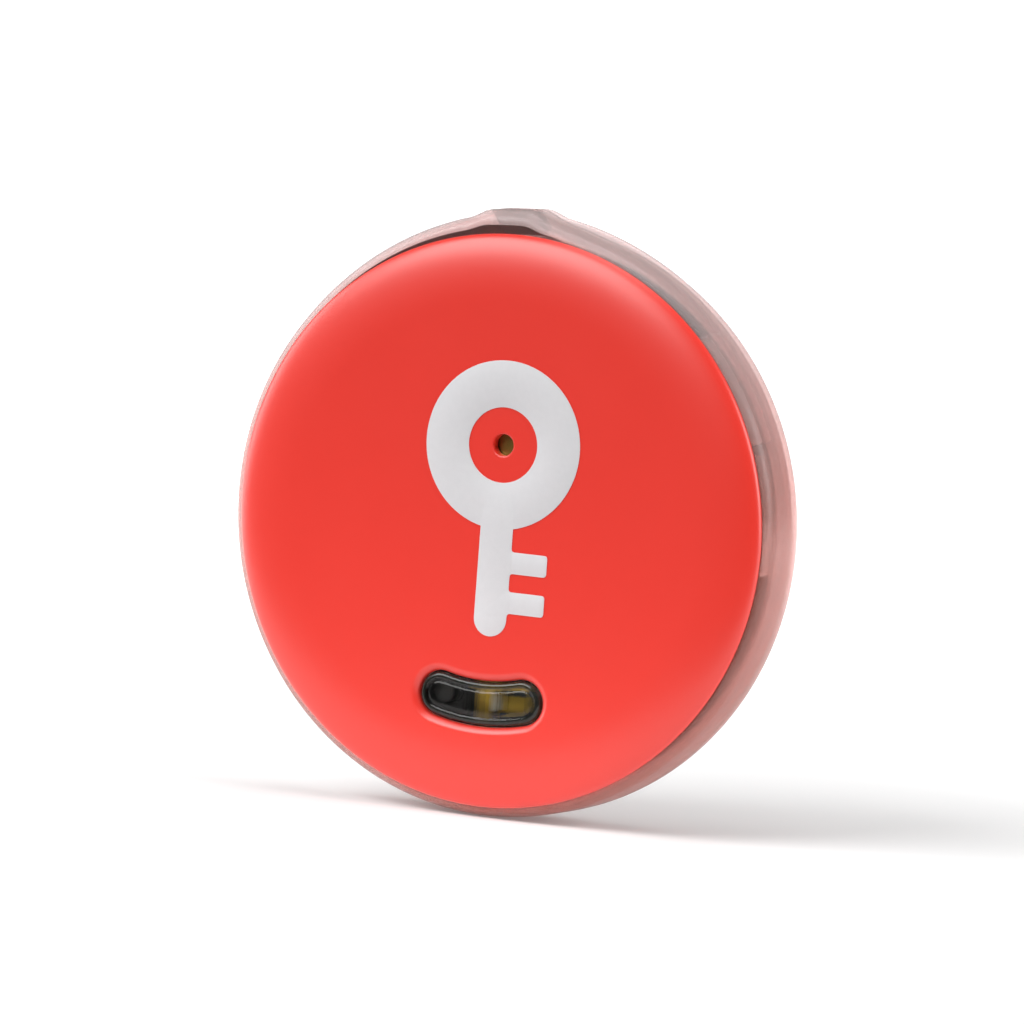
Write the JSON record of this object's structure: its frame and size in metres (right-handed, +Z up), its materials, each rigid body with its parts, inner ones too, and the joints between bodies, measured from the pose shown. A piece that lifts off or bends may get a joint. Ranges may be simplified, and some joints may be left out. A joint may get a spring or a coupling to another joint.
{
  "type": "bluetooth tracker tag",
  "caption": "Coin-sized round radio tracker tag with a crowned cover, clear press button, sounder hole, frosted ring with lanyard slot, and a pull-off back over a coin cell.",
  "frame": {"origin": "middle of the flat back face", "axes": "+Y out of the back face along the tag's thickness, -Y out of the printed face, +Z up along the printed symbol with the lanyard lug at the top"},
  "size_m": [0.026, 0.0056, 0.0267],
  "materials": {
    "frosted_shell": "frosted translucent, rose tinted",
    "cover_coral": "soft-touch satin",
    "print_white": "flat pad-printed ink",
    "smoked_clear": "glossy clear over dark board",
    "black_plastic": "fine moulded texture",
    "white_plastic": "moulded satin",
    "brass": "rolled",
    "gold": "gold plated",
    "steel": "nickel plated, fine brushed",
    "board": "black solder mask",
    "ceramic_white": "fired, satin",
    "ceramic_tan": "fired, tinned ends",
    "rubber": "moulded",
    "foam": "open foam",
    "epoxy": "moulded chip package"
  },
  "bodies": {
    "housing": {"housing_ring": "frosted_shell", "back_seal": "rubber", "antenna_carrier": "white_plastic", "front_cover": "cover_coral", "front_symbol": "print_white", "piezo_adhesive": "foam", "piezo_plate": "brass", "piezo_ceramic": "ceramic_white", "plate_spring": "gold", "ceramic_spring": "gold", "circuit_board": "board", "inner_frame": "black_plastic", "switch_body": "epoxy", "gold_pad_left": "gold", "gold_pad_right": "gold", "indicator_lamp": "ceramic_white", "radio_chip": "epoxy", "main_crystal": "steel", "clock_crystal": "steel", "chip_antenna": "ceramic_white", "power_inductor": "epoxy", "capacitor_1": "ceramic_tan", "capacitor_2": "ceramic_tan", "capacitor_3": "ceramic_tan", "capacitor_4": "ceramic_tan", "capacitor_5": "ceramic_tan", "capacitor_6": "ceramic_tan", "memory_chip": "epoxy", "contact_negative": "steel", "contact_positive": "steel"},
    "button": {"button_lens": "smoked_clear", "switch_plunger": "epoxy"},
    "back_cover": {"back_cover": "frosted_shell", "cell_pad": "foam"},
    "cell": {"cell_can": "steel", "cell_gasket": "rubber", "cell_cap": "steel"}
  },
  "joints": [
    {"name": "button_press", "type": "slide", "parent": "housing", "child": "button", "axis": [0, 1, 0], "range_m": [0, 0.0002], "stiffness_N_per_m": 40},
    {"name": "back_cover_off", "type": "slide", "parent": "housing", "child": "back_cover", "axis": [0, 1, 0], "range_m": [0, 0.014]},
    {"name": "cell_out", "type": "slide", "parent": "housing", "child": "cell", "axis": [0, 1, 0], "range_m": [0, 0.007]}
  ],
  "couplings": [
    {"joint": "cell_out", "follows": "back_cover_off", "ratio": 0.5}
  ]
}
